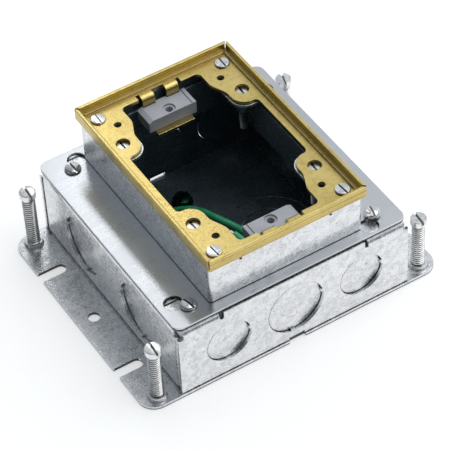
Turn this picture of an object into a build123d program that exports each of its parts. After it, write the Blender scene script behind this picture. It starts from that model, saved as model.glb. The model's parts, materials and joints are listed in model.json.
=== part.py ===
from build123d import *
import math
import os

os.makedirs("parts", exist_ok=True)

# Driving dimensions in millimetres. The origin is the middle of the underside of the base plate.
# +Z is up, X runs across the short side of the face ring and Y along its long side.
SHEET = 1.6  # galvanised steel of the box
BASE_X, BASE_Y = 152.4, 121.2  # base plate with its two fixing flanges
BASE_CORNER = 8.0
BOX_X, BOX_Y = 117.2, 120.0  # outside of the four walls
WALL_TOP = 39.6  # underside of the cover
COVER_X, COVER_Y = 117.4, 119.4
COVER_MIDDLE_Y = 0.8  # the cover lies a little towards the back
COVER_TOP = WALL_TOP + SHEET
RING_X, RING_Y = 79.4, 113.0  # outside of the brass face ring
PLATE_TOP = 64.5  # upper face of the ring's plate
RIM_TOP = 69.0
BRASS = 1.6
PLATE_BOTTOM = PLATE_TOP - BRASS
COLLAR_X, COLLAR_Y = 77.6, 107.4  # outside of the sliding riser
COLLAR_SHEET = 1.4
SLEEVE_X, SLEEVE_Y = 73.6, 103.4  # outside of the fixed sleeve inside the riser
SLEEVE_SHEET = 1.2
SLEEVE_TOP = 57.0
DEVICE_PITCH = 83.3  # between the two screws of a wiring device

# Hole positions, each repeated in the four corners
COVER_PLATE_HOLE = (26.65, 40.7)
RING_SCREW = (32.2, 48.4)
ADJUSTING_SCREW = (30.7, 29.2)
COVER_SCREW = (46.8, 49.2)
LEVELING_SCREW = (68.0, 54.5)

# Bores are this much larger in radius than the shank that runs in them
RUNNING_GAP = 0.05


def corners(point):
    """The point and its mirror images in the four corners."""
    return [(sx * point[0], sy * point[1]) for sx in (-1, 1) for sy in (-1, 1)]


def finish(builder, name):
    """Label a finished piece and write it as one STEP file."""
    builder.part.label = name
    export_step(builder.part, f"parts/{name}.step")


# Base plate with open fixing slots, round fixing holes and tapped collars for the leveling screws
LEVELING_SHANK_R = 3.05
LEVELING_COLLAR_R = 4.4
LEVELING_COLLAR_TOP = 3.8
SLOT_WIDTH = 5.6
SLOT_END_X = 66.1  # centre of the slot's round end
SLOT_Y = 33.8
FIXING_HOLE_X = 68.0
BASE_KNOCKOUT_X = 25.0
KNOCKOUT_1_2_R = 11.1  # half inch trade size
KNOCKOUT_3_4_R = 14.1
KNOCKOUT_5_4_R = 21.8
KNOCKOUT_GROOVE = 0.5
TIE_WIDTH = 3.0
SLOT_REACH = 30.0
EDGE_NOTCH_WIDTH = 8.5
EDGE_NOTCH_DEPTH = 1.6

with BuildPart() as base_plate:
    with BuildSketch():
        RectangleRounded(BASE_X, BASE_Y, BASE_CORNER)
        slot_middles = [(sx * (SLOT_END_X + SLOT_REACH / 2), sy * SLOT_Y) for sx in (-1, 1) for sy in (-1, 1)]
        with Locations(*slot_middles):
            SlotCenterToCenter(SLOT_REACH, SLOT_WIDTH, mode=Mode.SUBTRACT)
        with Locations((-FIXING_HOLE_X, 0), (FIXING_HOLE_X, 0)):
            Circle(SLOT_WIDTH / 2, mode=Mode.SUBTRACT)
        with Locations((0, -BASE_Y / 2), (0, BASE_Y / 2)):
            Rectangle(EDGE_NOTCH_WIDTH, 2 * EDGE_NOTCH_DEPTH, mode=Mode.SUBTRACT)
    extrude(amount=SHEET)
    with BuildSketch(Plane.XY.offset(SHEET)):
        with Locations(*corners(LEVELING_SCREW)):
            Circle(LEVELING_COLLAR_R)
    extrude(amount=LEVELING_COLLAR_TOP - SHEET, taper=8)
    with Locations(*[(x, y, SHEET) for x, y in corners(LEVELING_SCREW)]):
        Hole(LEVELING_SHANK_R + RUNNING_GAP)
    for radius, tie_turn in ((KNOCKOUT_3_4_R, 40), (KNOCKOUT_5_4_R, 115)):
        for side in (-1, 1):
            with BuildSketch(Plane.XY.offset(SHEET)):
                with Locations((side * BASE_KNOCKOUT_X, 0)):
                    Circle(radius)
                    Circle(radius - KNOCKOUT_GROOVE, mode=Mode.SUBTRACT)
                    Rectangle(3 * radius, TIE_WIDTH, rotation=side * tie_turn, mode=Mode.SUBTRACT)
            extrude(amount=-SHEET, mode=Mode.SUBTRACT)
finish(base_plate, "base_plate")


# Side walls: a channel with a turned-in head and foot, and flaps that back the end walls
HEAD_REACH = 10.0
BEND_R = 2.4
SIDE_KNOCKOUT_Y = 24.0
KNOCKOUT_Z = 20.6
KNOCKOUT_GAP = 0.3
PUSHED_IN = 1.9  # how far the free edge of a sheared disc stands behind the wall's face
NIB_WIDTH = 2.0
NIB_TOP, NIB_FOOT = 0.05, 1.8  # a nib's two faces, below the wall's face
CORNER_TAB_Y = 42.0  # beyond this the side wall's head gives way to the end wall's corner tab
LAP = BOX_Y / 2 - SHEET  # the end walls' inner face
FLAP_REACH = 12.0
TAB_BEND_R = 4.0  # where an end wall's upper corner turns in over the flap


def knockout_hole(plane, radius):
    """The round cut that shears a knockout out of a wall, whose outer face is the plane."""
    with BuildPart() as hole:
        with BuildSketch(plane):
            Circle(radius)
        extrude(amount=-SHEET)
    return hole.part


def knockout_disc(plane, radius, turn, nib_turns):
    """The sheared disc: hinged on its tie in direction turn, pushed in, with small nibs left in the cut."""
    tilt = math.degrees(math.atan(PUSHED_IN / (2 * radius)))
    hinge = plane.location * Location((0, 0, 0), (0, 0, turn)) * Location((radius, 0, 0), (0, -tilt, 0))
    with BuildPart() as disc:
        with BuildSketch(Plane(hinge)):
            with Locations((-radius, 0)):
                Circle(radius - KNOCKOUT_GAP)
        extrude(amount=-SHEET)
        with BuildSketch(Plane(hinge).offset(-SHEET / 4)):
            Rectangle(TIE_WIDTH, TIE_WIDTH)
        extrude(amount=-SHEET / 2)
        with BuildSketch(plane.offset(-NIB_TOP)):
            for nib_turn in nib_turns:
                with PolarLocations(radius - KNOCKOUT_GAP, 1, start_angle=nib_turn):
                    Rectangle(1.0, NIB_WIDTH)
        extrude(amount=NIB_TOP - NIB_FOOT)
    return disc.part


SIDE_TIE_TURN = 38  # towards the front and up
SIDE_NIBS = (165, 275)
side_knockouts = []
for side in (-1, 1):
    wall = Plane(origin=(-BOX_X / 2, side * SIDE_KNOCKOUT_Y, KNOCKOUT_Z), x_dir=(0, -1, 0), z_dir=(-1, 0, 0))
    side_disc = knockout_disc(wall, KNOCKOUT_3_4_R, SIDE_TIE_TURN, SIDE_NIBS)
    side_knockouts.append((knockout_hole(wall, KNOCKOUT_3_4_R), side_disc))

with BuildPart() as side_wall_left:
    with BuildSketch(Plane.XZ):
        with BuildLine():
            FilletPolyline(
                (-BOX_X / 2 + HEAD_REACH, SHEET),
                (-BOX_X / 2, SHEET),
                (-BOX_X / 2, WALL_TOP),
                (-BOX_X / 2 + HEAD_REACH, WALL_TOP),
                radius=BEND_R,
            )
            offset(amount=SHEET, side=Side.RIGHT)
        make_face()
    extrude(amount=LAP - BEND_R, both=True)
    with BuildSketch(Plane.XY.offset(SHEET + BEND_R)):
        with BuildLine():
            FilletPolyline(
                (-BOX_X / 2 + FLAP_REACH, -LAP),
                (-BOX_X / 2, -LAP),
                (-BOX_X / 2, LAP),
                (-BOX_X / 2 + FLAP_REACH, LAP),
                radius=BEND_R,
            )
            offset(amount=SHEET, side=Side.RIGHT)
        make_face()
    extrude(amount=WALL_TOP - TAB_BEND_R - 0.2 - SHEET - BEND_R)
    head_cut = HEAD_REACH - BEND_R - 0.8
    for side in (-1, 1):
        with BuildSketch(Plane.XY.offset(WALL_TOP)):
            with Locations((-BOX_X / 2 + HEAD_REACH - head_cut / 2, side * (CORNER_TAB_Y + LAP) / 2)):
                Rectangle(head_cut, LAP - CORNER_TAB_Y)
        extrude(amount=-SHEET, mode=Mode.SUBTRACT)
    for hole, disc in side_knockouts:
        add(hole, mode=Mode.SUBTRACT)
        add(disc)
finish(side_wall_left, "side_wall_left")

with BuildPart() as side_wall_right:
    mirror(side_wall_left.part, about=Plane.YZ)
finish(side_wall_right, "side_wall_right")


# End walls: a flat sheet whose two upper corners turn in as tapped tabs for the cover screws
TAB_X_INNER, TAB_X_OUTER = 37.8, 55.4
EAR_X = 57.2  # the bend itself runs on a little beyond the tab
EAR_Y = BOX_Y / 2 - TAB_BEND_R + 0.1
CORNER_HOLE_R = 1.4
NOTCH_WIDTH = 1.9
NOTCH_DEPTH = 3.6
END_KNOCKOUT_X = 34.0
END_TIE_TURN = 142  # towards the left and up
FOOT_GAP = 0.4  # the end walls hang on the side walls' flaps, just clear of the base plate
FOOT_NOTCH_WIDTH, FOOT_NOTCH_HEIGHT = 8.0, 1.7
COVER_SHANK_R = 2.0

end_knockouts = []
end_places = (
    (-END_KNOCKOUT_X, KNOCKOUT_1_2_R, (11,)),
    (0, KNOCKOUT_3_4_R, (11, 262)),
    (END_KNOCKOUT_X, KNOCKOUT_1_2_R, (11,)),
)
for x, radius, nib_turns in end_places:
    wall = Plane(origin=(x, -BOX_Y / 2, KNOCKOUT_Z), x_dir=(1, 0, 0), z_dir=(0, -1, 0))
    end_knockouts.append((knockout_hole(wall, radius), knockout_disc(wall, radius, END_TIE_TURN, nib_turns)))

with BuildPart() as end_wall_front:
    with BuildSketch(Plane.XZ.offset(LAP)):
        with Locations((0, (SHEET + FOOT_GAP + WALL_TOP) / 2)):
            Rectangle(BOX_X, WALL_TOP - SHEET - FOOT_GAP)
        for side in (-1, 1):
            with Locations((side * (TAB_X_INNER + BOX_X / 2) / 2, WALL_TOP)):
                Rectangle(BOX_X / 2 - TAB_X_INNER, 2 * TAB_BEND_R, mode=Mode.SUBTRACT)
            with Locations((side * (TAB_X_INNER - NOTCH_WIDTH / 2), WALL_TOP)):
                SlotOverall(2 * NOTCH_DEPTH, NOTCH_WIDTH, rotation=90, mode=Mode.SUBTRACT)
        with Locations((0, SHEET)):
            Rectangle(FOOT_NOTCH_WIDTH, 2 * FOOT_NOTCH_HEIGHT, mode=Mode.SUBTRACT)
    extrude(amount=SHEET)
    for tab_start in (-EAR_X, TAB_X_INNER):
        with BuildSketch(Plane.YZ.offset(tab_start)):
            with BuildLine():
                FilletPolyline(
                    (-BOX_Y / 2, WALL_TOP - 2 * TAB_BEND_R),
                    (-BOX_Y / 2, WALL_TOP),
                    (-CORNER_TAB_Y - 1, WALL_TOP),
                    radius=TAB_BEND_R,
                )
                offset(amount=SHEET, side=Side.RIGHT)
            make_face()
        extrude(amount=EAR_X - TAB_X_INNER)
    for side in (-1, 1):
        # beyond the tab's own width only the bend is left standing
        with BuildSketch(Plane.XY.offset(WALL_TOP)):
            with Locations((side * (TAB_X_OUTER + 1.5), (2 - EAR_Y - CORNER_TAB_Y) / 2)):
                Rectangle(3, EAR_Y - CORNER_TAB_Y + 2)
        extrude(amount=-TAB_BEND_R, mode=Mode.SUBTRACT)
        with BuildSketch(Plane.XZ.offset(LAP - 1)):
            with Locations((side * EAR_X, WALL_TOP - TAB_BEND_R + 0.6)):
                Circle(CORNER_HOLE_R)
        extrude(amount=2 * SHEET, mode=Mode.SUBTRACT)
    with Locations(*[(side * COVER_SCREW[0], -COVER_SCREW[1], WALL_TOP) for side in (-1, 1)]):
        Hole(COVER_SHANK_R + RUNNING_GAP, depth=2 * SHEET)
    for hole, disc in end_knockouts:
        add(hole, mode=Mode.SUBTRACT)
        add(disc)
finish(end_wall_front, "end_wall_front")

with BuildPart() as end_wall_back:
    mirror(end_wall_front.part, about=Plane.XZ)
finish(end_wall_back, "end_wall_back")


# Cover plate: twist-off sheet with a keyhole at every screw and the opening for the fixed sleeve
COVER_CORNER = 4.0
KEYHOLE_SMALL_R = 2.5
KEYHOLE_BIG_R = 4.4
KEYHOLE_SHIFT = 4.5  # the big hole lies this far from the screw along X and along Y

with BuildPart() as cover_plate:
    with BuildSketch(Plane.XY.offset(WALL_TOP)):
        with Locations((0, COVER_MIDDLE_Y)):
            RectangleRounded(COVER_X, COVER_Y, COVER_CORNER)
        RectangleRounded(SLEEVE_X + 2 * RUNNING_GAP, SLEEVE_Y + 2 * RUNNING_GAP, 2.0, mode=Mode.SUBTRACT)
        for x, y in corners(COVER_SCREW):
            # a quarter turn clockwise from the corner's diagonal, seen from above
            big = (x + math.copysign(KEYHOLE_SHIFT, y), y - math.copysign(KEYHOLE_SHIFT, x))
            with Locations((x, y)):
                Circle(KEYHOLE_SMALL_R, mode=Mode.SUBTRACT)
            with Locations(big):
                Circle(KEYHOLE_BIG_R, mode=Mode.SUBTRACT)
            with Locations(((x + big[0]) / 2, (y + big[1]) / 2)):
                neck_turn = math.degrees(math.atan2(big[1] - y, big[0] - x))
                Rectangle(KEYHOLE_SHIFT * math.sqrt(2), 2 * KEYHOLE_SMALL_R, rotation=neck_turn, mode=Mode.SUBTRACT)
    extrude(amount=SHEET)
finish(cover_plate, "cover_plate")


# Fixed sleeve: stands through the cover, with a foot under it and four brackets for the bushes
FOOT_REACH = 5.0
FOOT_HALF_Y = 40.0
BRACKET_TOP = SLEEVE_TOP
BRACKET_R = 4.4
BUSH_SPIGOT_R = 2.6

with BuildPart() as fixed_sleeve:
    with BuildSketch(Plane.XY.offset(WALL_TOP - SLEEVE_SHEET)):
        RectangleRounded(SLEEVE_X, SLEEVE_Y, 2.0)
        RectangleRounded(SLEEVE_X - 2 * SLEEVE_SHEET, SLEEVE_Y - 2 * SLEEVE_SHEET, 1.0, mode=Mode.SUBTRACT)
    extrude(amount=SLEEVE_TOP - WALL_TOP + SLEEVE_SHEET)
    with BuildSketch(Plane.XY.offset(WALL_TOP - SLEEVE_SHEET)):
        for side in (-1, 1):
            with Locations((side * (SLEEVE_X / 2 + FOOT_REACH / 2 - 0.5), 0)):
                Rectangle(FOOT_REACH + 1, 2 * FOOT_HALF_Y)
    extrude(amount=SLEEVE_SHEET)
    with BuildSketch(Plane.XY.offset(BRACKET_TOP - SLEEVE_SHEET)):
        for x, y in corners(ADJUSTING_SCREW):
            with Locations((x, y)):
                Circle(BRACKET_R)
            wall_x = math.copysign(SLEEVE_X / 2 - SLEEVE_SHEET / 2, x)
            with Locations(((x + wall_x) / 2, y)):
                Rectangle(abs(wall_x - x), 2 * BRACKET_R)
        with Locations(*corners(ADJUSTING_SCREW)):
            Circle(BUSH_SPIGOT_R, mode=Mode.SUBTRACT)
    extrude(amount=SLEEVE_SHEET)
finish(fixed_sleeve, "fixed_sleeve")


# Threaded bushes pressed into the brackets
ADJUSTING_SHANK_R = 2.0
BUSH_R = 3.0
BUSH_BOTTOM = 52.1

with BuildPart() as threaded_bushes:
    with BuildSketch(Plane.XY.offset(BUSH_BOTTOM)):
        with Locations(*corners(ADJUSTING_SCREW)):
            Circle(BUSH_R)
    extrude(amount=BRACKET_TOP - SLEEVE_SHEET - BUSH_BOTTOM)
    with BuildSketch(Plane.XY.offset(BRACKET_TOP - SLEEVE_SHEET)):
        with Locations(*corners(ADJUSTING_SCREW)):
            Circle(BUSH_SPIGOT_R)
    extrude(amount=SLEEVE_SHEET)
    with Locations(*[(x, y, BRACKET_TOP) for x, y in corners(ADJUSTING_SCREW)]):
        Hole(ADJUSTING_SHANK_R + RUNNING_GAP)
finish(threaded_bushes, "threaded_bushes")


# Riser: a collar that slides over the fixed sleeve and carries the face ring on four corner lobes
RISER_GAP = 0.35  # above the cover when the riser is down
LOBE_X = 23.1
LOBE_Y = 19.5
LOBE_BOTTOM = PLATE_BOTTOM - COLLAR_SHEET
SEAT_R = 4.0  # recess that holds the adjusting screw's head
SEAT_CUP_R = 5.4
SEAT_FLOOR_TOP = LOBE_BOTTOM - 0.2
COLLAR_NOTCH_X = 22.6
RING_SHANK_R = 1.9


def on_outside(edge):
    """True for an edge that lies on the riser's outer faces."""
    middle = edge.center()
    return abs(middle.X) > COLLAR_X / 2 - 0.6 or abs(middle.Y) > COLLAR_Y / 2 - 0.6


with BuildSketch() as throat:
    Rectangle(COLLAR_X - 2 * COLLAR_SHEET, 2 * LOBE_Y)
    Rectangle(2 * LOBE_X, COLLAR_Y - 2 * COLLAR_SHEET)
    lobe_corners = throat.vertices().filter_by(lambda v: abs(v.X) < LOBE_X + 1 and abs(v.Y) < LOBE_Y + 1)
    fillet(lobe_corners, radius=7.2)

with BuildPart() as riser_collar:
    with BuildSketch(Plane.XY.offset(COVER_TOP + RISER_GAP)):
        RectangleRounded(COLLAR_X, COLLAR_Y, 1.8)
        RectangleRounded(COLLAR_X - 2 * COLLAR_SHEET, COLLAR_Y - 2 * COLLAR_SHEET, 0.6, mode=Mode.SUBTRACT)
    extrude(amount=PLATE_BOTTOM - COVER_TOP - RISER_GAP)
    with BuildSketch(Plane.XY.offset(LOBE_BOTTOM)):
        Rectangle(COLLAR_X - COLLAR_SHEET, COLLAR_Y - COLLAR_SHEET)
        add(throat.sketch, mode=Mode.SUBTRACT)
    extrude(amount=COLLAR_SHEET)
    top_edges = riser_collar.edges().group_by(Axis.Z)[-1]
    fillet(top_edges.filter_by(on_outside), radius=1.2)
    with BuildSketch(Plane.XY.offset(LOBE_BOTTOM)):
        with Locations(*corners(ADJUSTING_SCREW)):
            Circle(SEAT_CUP_R)
    extrude(amount=SEAT_FLOOR_TOP - COLLAR_SHEET - LOBE_BOTTOM)
    with BuildSketch(Plane.XY.offset(PLATE_BOTTOM)):
        with Locations(*corners(ADJUSTING_SCREW)):
            Circle(SEAT_R)
    extrude(amount=SEAT_FLOOR_TOP - PLATE_BOTTOM, mode=Mode.SUBTRACT)
    with Locations(*[(x, y, PLATE_BOTTOM) for x, y in corners(ADJUSTING_SCREW)]):
        Hole(ADJUSTING_SHANK_R + RUNNING_GAP, depth=6)
    with Locations(*[(x, y, PLATE_BOTTOM) for x, y in corners(RING_SCREW)]):
        Hole(RING_SHANK_R + RUNNING_GAP, depth=6)
    with Locations(*[(x, y, PLATE_BOTTOM) for x, y in corners(COVER_PLATE_HOLE)]):
        Hole(2.4, depth=6)
    with BuildSketch(Plane.XY.offset(PLATE_BOTTOM)):
        for x, y in corners((COLLAR_NOTCH_X, COLLAR_Y / 2)):
            with Locations((x, y)):
                Rectangle(1.2, 4 * COLLAR_SHEET)
    extrude(amount=-4, mode=Mode.SUBTRACT)
finish(riser_collar, "riser_collar")


# Face ring: brass tray with a folded rim, lobed opening and two bent hangers
RIM = 1.7
LEDGE_WIDTH = 1.6
LEDGE_HEIGHT = 1.1
RING_BEND_R = 1.8
OPENING_Y = 98.0
OPENING_QUARTER = ((33.1, 0), (33.1, 20.3), (23.8, 20.3), (23.8, 31.0), (20.2, 39.0), (20.2, 49.0), (0, 49.0))
OPENING_RADII = (2.2, 7.0, 8.0, 8.0, 2.4)
ACCESS_R = 3.2
TAPPED_6_32_R = 1.75
KNUCKLE_INNER_X, KNUCKLE_OUTER_X = 3.0, 9.4
HANGER_Y = 49.9  # outer face of the hanger's upright
HANGER_SEAT = 53.1  # upper face of the hanger's seat
HANGER_FRONT_Y = 35.4
RIM_SLIT = 0.8
RELIEF_Y = 51.2

with BuildSketch() as opening:
    with BuildLine():
        FilletPolyline(*OPENING_QUARTER, radius=OPENING_RADII)
        mirror(about=Plane.YZ)
        mirror(about=Plane.XZ)
    make_face()

with BuildPart() as face_ring:
    with BuildSketch(Plane.XY.offset(PLATE_BOTTOM)):
        RectangleRounded(RING_X, RING_Y, 1.2)
    extrude(amount=RIM_TOP - PLATE_BOTTOM)
    lower_edges = face_ring.edges().filter_by(Plane.XY).group_by(Axis.Z)[0]
    fillet(lower_edges, radius=0.9)
    with BuildSketch(Plane.XY.offset(PLATE_TOP + LEDGE_HEIGHT)):
        Rectangle(RING_X - 2 * RIM, RING_Y - 2 * RIM)
    extrude(amount=RIM_TOP, mode=Mode.SUBTRACT)
    with BuildSketch(Plane.XY.offset(PLATE_TOP)):
        Rectangle(RING_X - 2 * RIM - 2 * LEDGE_WIDTH, RING_Y - 2 * RIM - 2 * LEDGE_WIDTH)
    extrude(amount=RIM_TOP, mode=Mode.SUBTRACT)
    rim_edges = face_ring.edges().filter_by(Plane.XY).group_by(Axis.Z)[-1]
    fillet(rim_edges, radius=0.4)
    with BuildSketch(Plane.XY.offset(PLATE_TOP)):
        add(opening.sketch)
    extrude(amount=-BRASS, mode=Mode.SUBTRACT)
    with BuildSketch(Plane.XY.offset(PLATE_TOP)):
        for side in (-1, 1):
            with Locations((0, side * (OPENING_Y / 2 + RELIEF_Y) / 2)):
                Rectangle(2 * KNUCKLE_OUTER_X + 3.2, RELIEF_Y - OPENING_Y / 2 + 2)
    extrude(amount=-BRASS, mode=Mode.SUBTRACT)
    for side in (-1, 1):
        with BuildSketch(Plane.YZ.offset(-KNUCKLE_OUTER_X)):
            with BuildLine():
                FilletPolyline(
                    (side * (RELIEF_Y + 1.5), PLATE_BOTTOM),
                    (side * HANGER_Y, PLATE_BOTTOM),
                    (side * HANGER_Y, HANGER_SEAT - BRASS),
                    (side * HANGER_FRONT_Y, HANGER_SEAT - BRASS),
                    radius=0.8,
                )
                offset(amount=BRASS, side=Side.RIGHT if side > 0 else Side.LEFT)
            make_face()
        extrude(amount=2 * KNUCKLE_OUTER_X)
        with BuildSketch(Plane.XY.offset(PLATE_TOP)):
            with Locations((0, side * HANGER_Y)):
                Rectangle(2 * KNUCKLE_INNER_X, 2 * (RELIEF_Y - HANGER_Y) + 2)
        extrude(amount=HANGER_SEAT - PLATE_TOP, mode=Mode.SUBTRACT)
        with Locations((0, side * DEVICE_PITCH / 2, HANGER_SEAT)):
            Hole(2.4, depth=2 * BRASS)
    with BuildSketch(Plane.XY.offset(PLATE_TOP + 0.3)):
        for x, y in corners((RING_X / 2, RING_Y / 2)):
            with Locations((x, y)):
                Rectangle(12, RIM_SLIT, rotation=45 if x * y > 0 else -45)
    extrude(amount=RIM_TOP, mode=Mode.SUBTRACT)
    with Locations(*[(x, y, PLATE_TOP) for x, y in corners(ADJUSTING_SCREW)]):
        Hole(ACCESS_R, depth=BRASS)
    with Locations(*[(x, y, PLATE_TOP) for x, y in corners(RING_SCREW)]):
        Hole(RING_SHANK_R + RUNNING_GAP, depth=BRASS)
    with Locations(*[(x, y, PLATE_TOP) for x, y in corners(COVER_PLATE_HOLE)]):
        Hole(TAPPED_6_32_R, depth=BRASS)
finish(face_ring, "face_ring")


# Screws: a slotted head on a plain shank
def slotted_screw(x, y, tip_z, head_bottom, shank_r, head_r, head_height, slot_width, slot_depth, slot_turn):
    """One slotted screw that points straight down, with its head's underside at head_bottom."""
    with BuildPart() as screw:
        with BuildSketch(Plane.XY.offset(tip_z)):
            with Locations((x, y)):
                Circle(shank_r)
        extrude(amount=head_bottom - tip_z)
        with BuildSketch(Plane.XY.offset(head_bottom)):
            with Locations((x, y)):
                Circle(head_r)
        extrude(amount=head_height)
        with BuildSketch(Plane.XY.offset(head_bottom + head_height)):
            with Locations((x, y)):
                Rectangle(3 * head_r, slot_width, rotation=slot_turn)
        extrude(amount=-slot_depth, mode=Mode.SUBTRACT)
    return screw.part


# Leveling screws: each stands in its tapped collar, the two left ones turned out a little further
LEVELING_TIP = 0.5
LEVELING_HEAD_BOTTOM = 28.7
LEVELING_HEAD_R = 3.75
LEVELING_HEAD = 3.0
leveling_places = (
    ("front_left", -1, -1, 1.0, 86),
    ("front_right", 1, -1, 0.0, 85),
    ("back_left", -1, 1, 3.3, 87),
    ("back_right", 1, 1, 0.3, 73),
)
for place, sx, sy, lift, slot_turn in leveling_places:
    leveling_part = slotted_screw(
        sx * LEVELING_SCREW[0], sy * LEVELING_SCREW[1], LEVELING_TIP + lift, LEVELING_HEAD_BOTTOM + lift,
        LEVELING_SHANK_R, LEVELING_HEAD_R, LEVELING_HEAD, 1.2, 1.8, slot_turn,
    )
    with BuildPart() as leveling_screw:
        add(leveling_part)
    finish(leveling_screw, f"leveling_screw_{place}")


# Adjusting screws: the head turns in the lobe's seat under the ring, the shank runs in the bush
ADJUSTING_TIP = 41.5
ADJUSTING_HEAD_R = 3.9
ADJUSTING_HEAD = 1.45
adjusting_places = (
    ("front_left", -1, -1, 90),
    ("front_right", 1, -1, 85),
    ("back_left", -1, 1, 90),
    ("back_right", 1, 1, 84),
)
for place, sx, sy, slot_turn in adjusting_places:
    adjusting_part = slotted_screw(
        sx * ADJUSTING_SCREW[0], sy * ADJUSTING_SCREW[1], ADJUSTING_TIP, SEAT_FLOOR_TOP + 0.05,
        ADJUSTING_SHANK_R, ADJUSTING_HEAD_R, ADJUSTING_HEAD, 1.1, 0.8, slot_turn,
    )
    with BuildPart() as adjusting_screw:
        add(adjusting_part)
    finish(adjusting_screw, f"adjusting_screw_{place}")


# Ring screws hold the face ring to the riser's lobes
ring_screw_parts = [
    slotted_screw(x, y, PLATE_BOTTOM - 4, PLATE_TOP, RING_SHANK_R, 3.4, 1.0, 1.0, 0.6, slot_turn)
    for (x, y), slot_turn in zip(corners(RING_SCREW), (94, 87, 94, 88))
]
with BuildPart() as ring_screws:
    for screw_part in ring_screw_parts:
        add(screw_part)
finish(ring_screws, "ring_screws")


# Cover screws stand in the keyholes and thread into the corner tabs; the front right one is backed out
COVER_HEAD_R = 3.7
COVER_HEAD = 2.2
COVER_SCREW_LENGTH = 9.0
COVER_SCREW_PROUD = 1.2
cover_screw_parts = []
for (x, y), slot_turn in zip(corners(COVER_SCREW), (103, 95, 77, 50)):
    proud = COVER_SCREW_PROUD if x > 0 > y else 0.0
    head_bottom = COVER_TOP + proud
    tip_z = head_bottom - COVER_SCREW_LENGTH
    cover_screw_parts.append(
        slotted_screw(x, y, tip_z, head_bottom, COVER_SHANK_R, COVER_HEAD_R, COVER_HEAD, 1.1, 1.2, slot_turn)
    )
with BuildPart() as cover_screws:
    for screw_part in cover_screw_parts:
        add(screw_part)
finish(cover_screws, "cover_screws")


# Device blocks: moulded blocks on the hanger seats, tapped for the wiring device's screws
BLOCK_X, BLOCK_Y = 24.4, 10.8
BLOCK_BACK_Y = 49.2
BLOCK_HEIGHT = 6.5
BLOCK_NOTCH_GAP = 0.2
BLOCK_HOLE_R = 1.75
BLOCK_COUNTERBORE_R = 2.9
with BuildPart() as device_block_back:
    with BuildSketch(Plane.XY.offset(HANGER_SEAT)):
        with Locations((0, BLOCK_BACK_Y - BLOCK_Y / 2)):
            Rectangle(BLOCK_X, BLOCK_Y)
        notch_inner = KNUCKLE_INNER_X - BLOCK_NOTCH_GAP
        notch_outer = KNUCKLE_OUTER_X + BLOCK_NOTCH_GAP
        for side in (-1, 1):
            with Locations((side * (notch_inner + notch_outer) / 2, BLOCK_BACK_Y)):
                Rectangle(notch_outer - notch_inner, 2 * (BLOCK_BACK_Y - HANGER_Y + BRASS + BLOCK_NOTCH_GAP), mode=Mode.SUBTRACT)
    extrude(amount=BLOCK_HEIGHT)
    left_top = device_block_back.edges().group_by(Axis.Z)[-1].filter_by(Axis.Y).sort_by(Axis.X)[0]
    chamfer(left_top, length=1.0, length2=2.2)
    with BuildSketch(Plane.XY.offset(HANGER_SEAT + BLOCK_HEIGHT)):
        with Locations((BLOCK_X / 2 - 2.0, BLOCK_BACK_Y - BLOCK_Y / 2)):
            Rectangle(0.5, BLOCK_Y + 1)
    extrude(amount=-0.4, mode=Mode.SUBTRACT)
    with Locations((0, DEVICE_PITCH / 2, HANGER_SEAT + BLOCK_HEIGHT)):
        CounterBoreHole(BLOCK_HOLE_R, BLOCK_COUNTERBORE_R, 0.8)
finish(device_block_back, "device_block_back")

with BuildPart() as device_block_front:
    add(device_block_back.part.rotate(Axis.Z, 180))
finish(device_block_front, "device_block_front")


# Ground terminal: a ring tongue under the ground screw with a barrel that grips the wire
GROUND_X, GROUND_Y = 0.9, 37.6
TERMINAL_T = 0.8
TERMINAL_TOP = SHEET + TERMINAL_T
TONGUE_R = 4.6
TONGUE_WIDTH = 4.0
WIRE_R = 1.75
BARREL_R = 2.35
BARREL_LENGTH = 5.5
WIRE_START = (GROUND_X - 11.0, GROUND_Y, 4.2)

with BuildPart() as ground_terminal:
    with BuildSketch(Plane.XY.offset(SHEET)):
        with Locations((GROUND_X, GROUND_Y)):
            Circle(TONGUE_R)
        with Locations(((GROUND_X + WIRE_START[0]) / 2 - 1, GROUND_Y)):
            Rectangle(GROUND_X - WIRE_START[0], TONGUE_WIDTH)
        with Locations((GROUND_X, GROUND_Y)):
            Circle(2.5, mode=Mode.SUBTRACT)
    extrude(amount=TERMINAL_T)
    with BuildSketch(Plane(origin=WIRE_START, z_dir=(-1, 0, 0))):
        Circle(BARREL_R)
        Circle(WIRE_R + RUNNING_GAP, mode=Mode.SUBTRACT)
    extrude(amount=BARREL_LENGTH)
finish(ground_terminal, "ground_terminal")


# Ground screw: washer-faced hexagon head with a slot
GROUND_SHANK_R = 2.3
GROUND_WASHER_R = 5.0
GROUND_WASHER = 0.7
GROUND_HEX_R = 4.5
GROUND_HEAD_TOP = TERMINAL_TOP + 3.7

with BuildPart() as ground_screw:
    with BuildSketch(Plane.XY.offset(SHEET)):
        with Locations((GROUND_X, GROUND_Y)):
            Circle(GROUND_SHANK_R)
    extrude(amount=TERMINAL_T)
    with BuildSketch(Plane.XY.offset(TERMINAL_TOP)):
        with Locations((GROUND_X, GROUND_Y)):
            Circle(GROUND_WASHER_R)
    extrude(amount=GROUND_WASHER)
    with BuildSketch(Plane.XY.offset(TERMINAL_TOP + GROUND_WASHER)):
        with Locations((GROUND_X, GROUND_Y)):
            RegularPolygon(GROUND_HEX_R, 6)
    extrude(amount=GROUND_HEAD_TOP - TERMINAL_TOP - GROUND_WASHER)
    chamfer(ground_screw.edges().group_by(Axis.Z)[-1], length=0.4)
    with BuildSketch(Plane.XY.offset(GROUND_HEAD_TOP)):
        with Locations((GROUND_X, GROUND_Y)):
            Rectangle(12, 1.1, rotation=40)
    extrude(amount=-1.2, mode=Mode.SUBTRACT)
finish(ground_screw, "ground_screw")


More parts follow.
